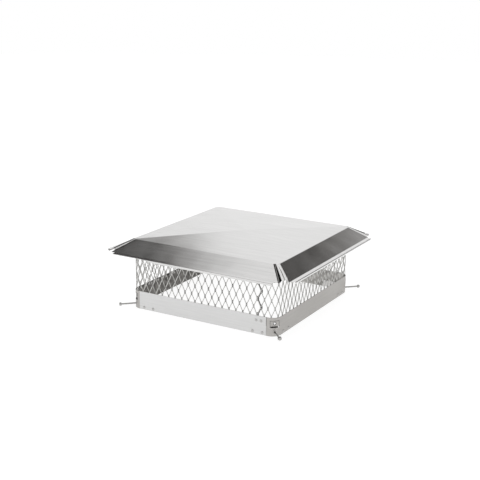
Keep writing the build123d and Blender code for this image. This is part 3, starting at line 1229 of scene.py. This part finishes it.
@dataclass
class ClampScrew:
    """A long clamp screw: a rolled thread and a hexagon head with a washer face.

    Sizes are in millimetres. The seat of the head is given by its distance out along the
    diagonal and its height.
    """

    corner: Corner
    seat: float = 265.26
    height: float = 8.0
    length: float = 51.0
    radius: float = 1.75
    pitch: float = 1.25
    depth: float = 0.28
    turn_steps: int = 6
    flange_radius: float = 4.1
    flange_height: float = 0.9
    flange_rim: Pair = (0.2, 0.55)
    flange_chamfers: Pair = (0.15, 0.35)
    across_flats: float = 6.4
    head_height: float = 3.2
    head_chamfer: Pair = (0.5, 0.45)
    head_sink: float = 0.1

    def thread(self) -> bpy.types.Object:
        """Roll the thread on a cylinder that lies along Z, from 0 down.

        Returns:
            The shank.
        """
        t = TreeBuilder("rolled_thread")
        radius, length = t.size("Radius", 0.00175), t.size("Length", 0.05)
        pitch, depth = t.size("Pitch", 0.00125), t.size("Depth", 0.0003)
        steps = t.size("Steps", 246, "Int")
        material = t.size("Material", kind="Material")
        bar = t.out("GeometryNodeMeshCylinder", {
            "Vertices": 14, "Side Segments": steps, "Radius": radius, "Depth": length,
        })
        here = t.place()
        angle = t.over(t.math("ARCTAN2", here[1], here[0]), 2 * math.pi)
        wave = t.math("PINGPONG", t.plus(t.over(here[2], pitch), angle), 0.5)
        dip = t.times(t.times(wave, 2.0), depth)
        keep = t.minus(1.0, t.over(dip, radius))
        place = t.vector(t.times(here[0], keep), t.times(here[1], keep), here[2])
        bar = t.out("GeometryNodeSetPosition", {"Geometry": bar, "Position": place})
        shift = t.vector(0.0, 0.0, t.times(length, -0.5))
        bar = t.out("GeometryNodeTransform", {"Geometry": bar, "Translation": shift})
        t.finish(bar, material)
        return t.run(
            "thread", Radius=self.radius * MM, Length=self.length * MM, Pitch=self.pitch * MM,
            Depth=self.depth * MM, Steps=round(self.turn_steps * self.length / self.pitch),
            Material=FASTENER_STEEL.build(),
        )

    def head(self, work: bmesh.types.BMesh) -> None:
        """Add the washer face and the hexagon to the screw, from its seat upwards.

        Args:
            work: the screw's mesh, in metres, its seat at the origin.
        """
        hexagon = self.across_flats / math.sqrt(3)
        top = self.flange_height + self.head_height
        rim, (low, high) = self.flange_radius, self.flange_rim
        foot, shoulder = self.flange_chamfers
        flange = ((rim - foot, 0.0), (rim, low), (rim, high), (rim - shoulder, self.flange_height))
        self.lathe(work, flange, 24)
        inward, down = self.head_chamfer
        seat = self.flange_height - self.head_sink
        self.lathe(work, ((hexagon, seat), (hexagon, top - down), (hexagon - inward, top)), 6)

    @staticmethod
    def lathe(work: bmesh.types.BMesh, section: Sequence[Pair], count: int) -> None:
        """Close a ring of faces round Z over a section of (radius, height) points.

        Args:
            work: the mesh that gets the faces.
            section: the points from low to high, in millimetres.
            count: how many sides the ring has.
        """
        spokes = [2 * math.pi * step / count for step in range(count)]
        rings = []
        for radius, z in section:
            points = [Vector((radius * math.cos(a), radius * math.sin(a), z)) for a in spokes]
            rings.append([work.verts.new(point * MM) for point in points])
        for face in skin(work, rings):
            face.material_index = 1

    def build(self) -> bpy.types.Object:
        """Build the screw where its corner needs it.

        Returns:
            The finished piece.
        """
        name = self.corner.name.lower()
        shank = self.thread()
        work = bmesh.new()
        work.from_mesh(shank.data)
        self.head(work)
        heading = Matrix.Rotation(math.radians(self.corner.value), 4, "Z")
        place = turned(Vector((self.seat, 0.0, self.height)), self.corner.value) * MM
        pose = Matrix.Translation(place) @ heading @ Matrix.Rotation(math.pi / 2, 4, "Y")
        bmesh.ops.transform(work, matrix=pose, verts=work.verts)
        shank.data.materials.append(HEAD_STEEL.build())
        work.to_mesh(shank.data)
        work.free()
        shank.name = shank.data.name = f"long_screw_{name}"
        soften(shank.data, sharp_degrees=38.0)
        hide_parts(f"clamp_screw_{name}")
        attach(shank, f"screw_{name}")
        return shank


# ---- the studio ----


@dataclass(frozen=True)
class Fade:
    """A smooth change of the light with direction, along one axis between two marks."""

    axis: str
    start: float
    end: float
    low: float = 0.0
    high: float = 1.0


@dataclass
class Studio:
    """A white room with patches of light, a low soft lamp and the photograph's camera.

    Each patch of light is the product of its fades. The camera sees the room as plain white,
    so the patches show only in what the metal mirrors.
    """

    camera_place: tuple[float, float, float] = (0.995, -1.7525, 0.6948)
    azimuth: float = 28.4
    elevation: float = 15.83
    roll: float = 1.16
    focal_pixels: float = 979.3
    centre_pixels: Pair = (263.7, 244.0)
    frame_pixels: float = 480.0
    sensor: float = 36.0
    sweep: tuple[Fade, ...] = (Fade("z", 0.36, 0.51, 1.0, 0.06), Fade("x", -0.02, 0.4, 1.0, 0.06))
    lean: Fade = Fade("z", 0.55, 0.85, 0.0, 0.34)
    tall: tuple[Fade, ...] = (Fade("lean", -0.22, -0.06, 1.0, 0.0), Fade("y", -0.45, -0.1))
    edge: tuple[Fade, ...] = (
        Fade("x", -0.561, -0.471, 1.0, 0.0), Fade("z", 0.26, 0.35), Fade("z", 0.9, 0.97, 1.0, 0.0),
    )
    edge_shade: Fade = Fade("edge", 0.0, 1.0, 1.0, 0.03)
    overhead: tuple[Fade, ...] = (Fade("z", 0.93, 0.98, 0.0, 3.0),)
    front_fill: tuple[Fade, ...] = (
        Fade("y", -0.34, -0.16, 1.0, 0.0), Fade("z", 0.2, 0.9, 1.0, 0.22),
    )
    right_fill: tuple[Fade, ...] = (
        Fade("x", 0.46, 0.58), Fade("z", 0.12, 0.32, 0.0, 0.62), Fade("z", 0.5, 0.7, 1.0, 0.5),
    )
    far_right_fill: tuple[Fade, ...] = (Fade("x", 0.72, 0.86, 0.0, 0.85),)
    warmth: Fade = Fade("glow", 0.0, 0.8)
    warm: tuple[float, float, float] = (1.0, 0.955, 0.91)
    floor_radius: float = 6.0
    floor_grey: float = 0.30
    floor_glow: float = 0.88
    lamp_size: Pair = (5.0, 0.8)
    lamp_watts: float = 3.0
    lamp_place: tuple[float, float, float] = (-1.6, -2.2, 0.55)

    def camera(self) -> bpy.types.Object:
        """Set the camera where the photograph was taken.

        Returns:
            The camera.
        """
        lens = bpy.data.cameras.new("camera")
        lens.sensor_fit = "HORIZONTAL"
        lens.sensor_width = self.sensor
        lens.lens = self.focal_pixels * self.sensor / self.frame_pixels
        half = self.frame_pixels / 2
        lens.shift_x = (half - self.centre_pixels[0]) / self.frame_pixels
        lens.shift_y = (self.centre_pixels[1] - half) / self.frame_pixels
        lens.clip_end = 50.0
        az, el, roll = (math.radians(value) for value in (self.azimuth, self.elevation, self.roll))
        ahead = Vector((-math.sin(az) * math.cos(el), math.cos(az) * math.cos(el), -math.sin(el)))
        level = Vector((math.cos(az), math.sin(az), 0.0))
        upward = level.cross(ahead)
        right = level * math.cos(roll) + upward * math.sin(roll)
        top = upward * math.cos(roll) - level * math.sin(roll)
        pose = Matrix((right, top, -ahead)).transposed().to_4x4()
        pose.translation = self.camera_place
        holder = bpy.data.objects.new("camera", lens)
        bpy.context.scene.collection.objects.link(holder)
        holder.matrix_world = pose
        bpy.context.scene.camera = holder
        return holder

    def world(self) -> None:
        """Light the room from a white sweep and from weaker fills.

        The sweep is low all round and fades out to the right. Behind and on the left it is
        tall and leans away, and a dark edge cuts it on the far left. The fills stand overhead,
        in front, where the lid mirrors them in views from behind, and on the right.
        """
        world = bpy.data.worlds.new("studio")
        bpy.context.scene.world = world
        world.use_nodes = True
        world.node_tree.nodes.clear()
        t = NodeBuilder(world.node_tree)
        ways = t.add("ShaderNodeTexCoord").outputs["Generated"]
        axes = dict(zip("xyz", t.add("ShaderNodeSeparateXYZ", {0: ways}).outputs))

        def level(fade: Fade) -> Socket:
            """Add one fade.

            Args:
                fade: its axis, marks and levels.

            Returns:
                The level of light in each direction.
            """
            return t.add("ShaderNodeMapRange", {
                "Value": axes[fade.axis], "From Min": fade.start, "From Max": fade.end,
                "To Min": fade.low, "To Max": fade.high,
            }, interpolation_type="SMOOTHSTEP").outputs["Result"]

        def patch(fades: Iterable[Fade]) -> Socket:
            """Multiply the fades of one patch of light."""
            return reduce(t.times, map(level, fades))

        axes["lean"] = t.minus(axes["x"], level(self.lean))
        axes["edge"] = patch(self.edge)
        wall = t.math("MAXIMUM", patch(self.sweep), patch(self.tall))
        glow = t.times(wall, level(self.edge_shade))
        fills = (self.overhead, self.front_fill, self.right_fill, self.far_right_fill)
        for fill in fills:
            glow = t.math("MAXIMUM", glow, patch(fill))
        axes["glow"] = glow

        white = (1.0, 1.0, 1.0, 1.0)
        tint = t.add(
            "ShaderNodeMix", {"Factor": level(self.warmth), 6: (*self.warm, 1.0), 7: white},
            data_type="RGBA",
        )
        sky = t.out("ShaderNodeBackground", {"Color": tint.outputs[2], "Strength": glow})
        plain = t.out("ShaderNodeBackground", {"Color": white, "Strength": 1.0})
        seen = t.add("ShaderNodeLightPath").outputs["Is Camera Ray"]
        mix = t.out("ShaderNodeMixShader", {0: seen, 1: sky, 2: plain})
        t.add("ShaderNodeOutputWorld", {"Surface": mix})

    def floor(self) -> bpy.types.Object:
        """Lay the pale floor that the cap stands on.

        Returns:
            The floor.
        """
        work = bmesh.new()
        bmesh.ops.create_circle(work, cap_ends=True, segments=64, radius=self.floor_radius)
        mesh = mesh_of(work, "floor")
        floor = make_object("floor", mesh)
        paint = bpy.data.materials.new("floor_paint")
        paint.use_nodes = True
        NodeBuilder(paint.node_tree).feed(paint.node_tree.nodes["Principled BSDF"], {
            "Base Color": (*[self.floor_grey] * 3, 1.0), "Emission Color": (1.0, 1.0, 1.0, 1.0),
            "Emission Strength": self.floor_glow, "Roughness": 0.9, "Specular IOR Level": 0.1,
        })
        mesh.materials.append(paint)
        return floor

    def light(self) -> bpy.types.Object:
        """Stand a long low soft lamp to the front and left of the cap.

        Returns:
            The lamp.
        """
        lamp = bpy.data.lights.new("soft_box", "AREA")
        lamp.shape = "RECTANGLE"
        lamp.size, lamp.size_y = self.lamp_size
        lamp.energy = self.lamp_watts
        holder = bpy.data.objects.new("soft_box", lamp)
        bpy.context.scene.collection.objects.link(holder)
        place = Vector(self.lamp_place)
        aim = place.to_track_quat("Z", "Y").to_matrix().to_4x4()
        holder.matrix_world = Matrix.Translation(place) @ aim
        return holder

    def build(self) -> None:
        """Set up camera, world, floor and light."""
        scene = bpy.context.scene
        scene.view_settings.view_transform = "Standard"
        self.camera()
        self.world()
        self.floor()
        self.light()


def dress(frame: dict, finishes: Iterable[tuple[str, StainlessFinish]]) -> None:
    """Give the CAD nodes that stay their finish.

    Args:
        frame: the loaded frame.
        finishes: pairs of a name's beginning and the finish for nodes that start so.
    """
    for start, finish in finishes:
        material = finish.build()
        for name, node in frame["nodes"].items():
            if name.startswith(start):
                for slot in node.material_slots:
                    slot.material = material
                LOG.info("dressed %s in %s", name, finish.name)


def main() -> None:
    """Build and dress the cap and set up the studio."""
    logging.basicConfig(level=logging.INFO, format="%(name)s: %(message)s")
    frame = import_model()
    dress(frame, (
        ("clamp_nut", FASTENER_STEEL), ("clamp_bracket", BRACKET_STEEL),
        ("lid_clip", BRACKET_STEEL),
    ))
    band = BaseBand().build(frame["nodes"]["base_band"])
    screws = [ClampScrew(corner).build() for corner in Corner]
    for piece in (FoldedLid().build(), *ExpandedScreen().build(), *band, *screws):
        LOG.info("built %s: %d faces", piece.name, len(piece.data.polygons))
    Studio().build()


if __name__ == "__main__":
    main()
